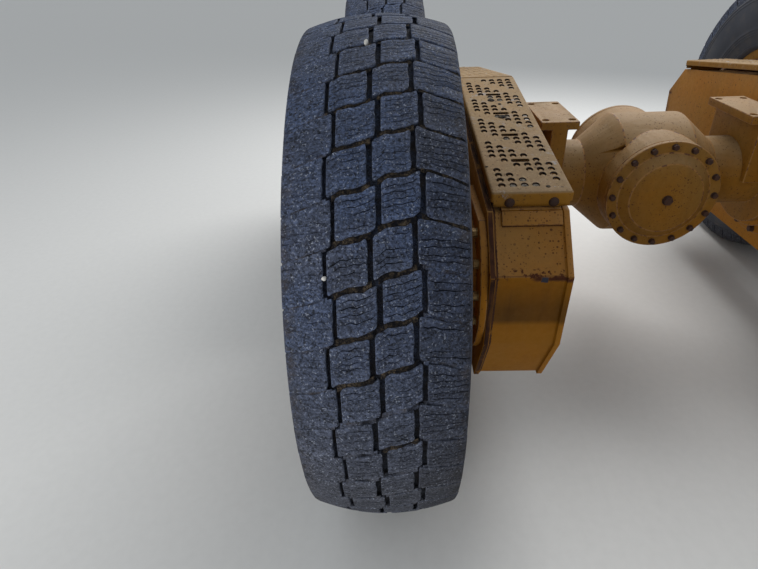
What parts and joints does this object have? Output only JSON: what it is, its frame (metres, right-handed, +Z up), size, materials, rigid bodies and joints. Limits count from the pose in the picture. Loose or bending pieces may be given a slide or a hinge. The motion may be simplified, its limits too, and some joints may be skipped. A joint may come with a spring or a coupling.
{
  "type": "motor grader rear tandem axle",
  "caption": "Rear tandem drive axle of a motor grader: a centre housing between swinging tandem cases that carry grip platforms and block-tread wheels.",
  "frame": {"origin": "on the ground, under the middle of the axis that both tandem cases swing on", "axes": "+X forward, +Y to the machine's left, +Z up"},
  "size_m": [2.8938, 2.435, 1.3698],
  "materials": {
    "case_paint": "dusty, worn",
    "platform_paint": "dusty, worn",
    "wheel_paint": "worn",
    "hub_paint": "worn",
    "housing_paint": "dusty",
    "tyre_rubber": "worn, dusty",
    "bare_steel": "rusty"
  },
  "bodies": {
    "axle": {"axle_housing": "housing_paint", "rear_cover": "housing_paint", "pinion_housing": "housing_paint", "drive_flange": "bare_steel", "left_saddle": "housing_paint", "right_saddle": "housing_paint"},
    "left_tandem": {"left_case": "case_paint", "left_pivot_housing": "case_paint", "left_pivot_cover": "case_paint", "left_brackets": "case_paint", "left_rear_spindle": "case_paint", "left_rear_platform": "platform_paint", "left_front_spindle": "case_paint", "left_front_platform": "platform_paint"},
    "left_rear_wheel": {"left_rear_tyre": "tyre_rubber", "left_rear_rim": "wheel_paint", "left_rear_lock_ring": "wheel_paint", "left_rear_hub": "hub_paint"},
    "left_front_wheel": {"left_front_tyre": "tyre_rubber", "left_front_rim": "wheel_paint", "left_front_lock_ring": "wheel_paint", "left_front_hub": "hub_paint"},
    "right_tandem": {"right_case": "case_paint", "right_pivot_housing": "case_paint", "right_pivot_cover": "case_paint", "right_brackets": "case_paint", "right_rear_spindle": "case_paint", "right_rear_platform": "platform_paint", "right_front_spindle": "case_paint", "right_front_platform": "platform_paint"},
    "right_rear_wheel": {"right_rear_tyre": "tyre_rubber", "right_rear_rim": "wheel_paint", "right_rear_lock_ring": "wheel_paint", "right_rear_hub": "hub_paint"},
    "right_front_wheel": {"right_front_tyre": "tyre_rubber", "right_front_rim": "wheel_paint", "right_front_lock_ring": "wheel_paint", "right_front_hub": "hub_paint"}
  },
  "joints": [
    {"name": "left_tandem_swing", "type": "hinge", "parent": "axle", "child": "left_tandem", "pos_m": [0, 0.532, 0.685], "axis": [0, 1, 0], "range_deg": [-15, 15]},
    {"name": "left_rear_wheel_spin", "type": "hinge", "parent": "left_tandem", "child": "left_rear_wheel", "pos_m": [-0.762, 1.03, 0.685], "axis": [0, 1, 0], "continuous": true},
    {"name": "left_front_wheel_spin", "type": "hinge", "parent": "left_tandem", "child": "left_front_wheel", "pos_m": [0.762, 1.03, 0.685], "axis": [0, 1, 0], "continuous": true},
    {"name": "right_tandem_swing", "type": "hinge", "parent": "axle", "child": "right_tandem", "pos_m": [0, -0.532, 0.685], "axis": [0, 1, 0], "range_deg": [-15, 15]},
    {"name": "right_rear_wheel_spin", "type": "hinge", "parent": "right_tandem", "child": "right_rear_wheel", "pos_m": [-0.762, -1.03, 0.685], "axis": [0, 1, 0], "continuous": true},
    {"name": "right_front_wheel_spin", "type": "hinge", "parent": "right_tandem", "child": "right_front_wheel", "pos_m": [0.762, -1.03, 0.685], "axis": [0, 1, 0], "continuous": true}
  ],
  "couplings": [
    {"joint": "left_front_wheel_spin", "follows": "left_rear_wheel_spin", "ratio": 1},
    {"joint": "right_front_wheel_spin", "follows": "right_rear_wheel_spin", "ratio": 1}
  ]
}
